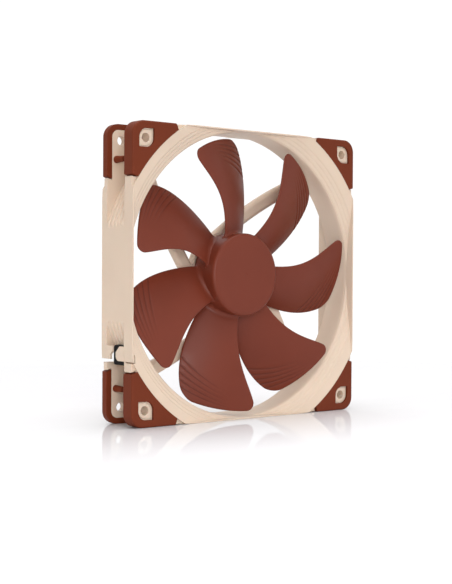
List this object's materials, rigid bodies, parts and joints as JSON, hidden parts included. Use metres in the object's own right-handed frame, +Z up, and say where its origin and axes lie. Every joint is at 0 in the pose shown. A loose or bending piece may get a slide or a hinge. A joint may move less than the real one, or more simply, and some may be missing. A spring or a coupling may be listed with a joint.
{
  "type": "axial case fan",
  "caption": "Square axial cooling fan with a stepped round inlet, swept blades on a plain hub, curved rear struts and soft pads wrapped around its corners.",
  "frame": {"origin": "centre of the fan's footprint at the bottom edge, on the mid plane of its depth", "axes": "+Z up, +Y along the fan's axis from the air inlet to the outlet, +X to the right seen from the inlet"},
  "size_m": [0.14, 0.025, 0.14],
  "materials": {
    "frame_plastic": "fine satin moulded plastic, warm beige",
    "pad_silicone": "soft matt silicone, red brown",
    "impeller_plastic": "matt glass-filled plastic, red brown",
    "gland_rubber": "black moulded rubber",
    "yoke_steel": "drawn steel cup, plated",
    "ferrite": "dark grey bonded ferrite",
    "shaft_steel": "ground steel",
    "clip_steel": "spring steel",
    "brass": "turned brass",
    "bearing_bronze": "sintered bronze, oily",
    "seal_rubber": "black nitrile",
    "lamination_steel": "stacked electrical steel",
    "insulator_plastic": "natural nylon",
    "copper_winding": "enamelled copper wire",
    "board_resin": "green solder mask",
    "chip_resin": "black moulded package",
    "capacitor_body": "aluminium can",
    "label_film": "plain printed-free film"
  },
  "bodies": {
    "housing": {"frame": "frame_plastic", "front_pad_top_left": "pad_silicone", "front_pad_top_right": "pad_silicone", "front_pad_bottom_left": "pad_silicone", "front_pad_bottom_right": "pad_silicone", "rear_pad_top_left": "pad_silicone", "rear_pad_top_right": "pad_silicone", "rear_pad_bottom_left": "pad_silicone", "rear_pad_bottom_right": "pad_silicone", "cable_gland": "gland_rubber", "bearing_tube": "brass", "bearing_sleeve": "bearing_bronze", "oil_seal": "seal_rubber", "thrust_plate": "clip_steel", "stator_core": "lamination_steel", "stator_insulator_front": "insulator_plastic", "stator_insulator_rear": "insulator_plastic", "stator_coil_1": "copper_winding", "stator_coil_2": "copper_winding", "stator_coil_3": "copper_winding", "stator_coil_4": "copper_winding", "circuit_board": "board_resin", "driver_chip": "chip_resin", "hall_sensor": "chip_resin", "capacitor": "capacitor_body", "rear_label": "label_film"},
    "rotor": {"impeller": "impeller_plastic", "rotor_yoke": "yoke_steel", "rotor_magnet": "ferrite", "shaft": "shaft_steel", "shaft_bush": "brass", "retaining_clip": "clip_steel"}
  },
  "joints": [
    {"name": "rotor_spin", "type": "hinge", "parent": "housing", "child": "rotor", "pos_m": [0, 0, 0.07], "axis": [0, 1, 0], "continuous": true}
  ]
}
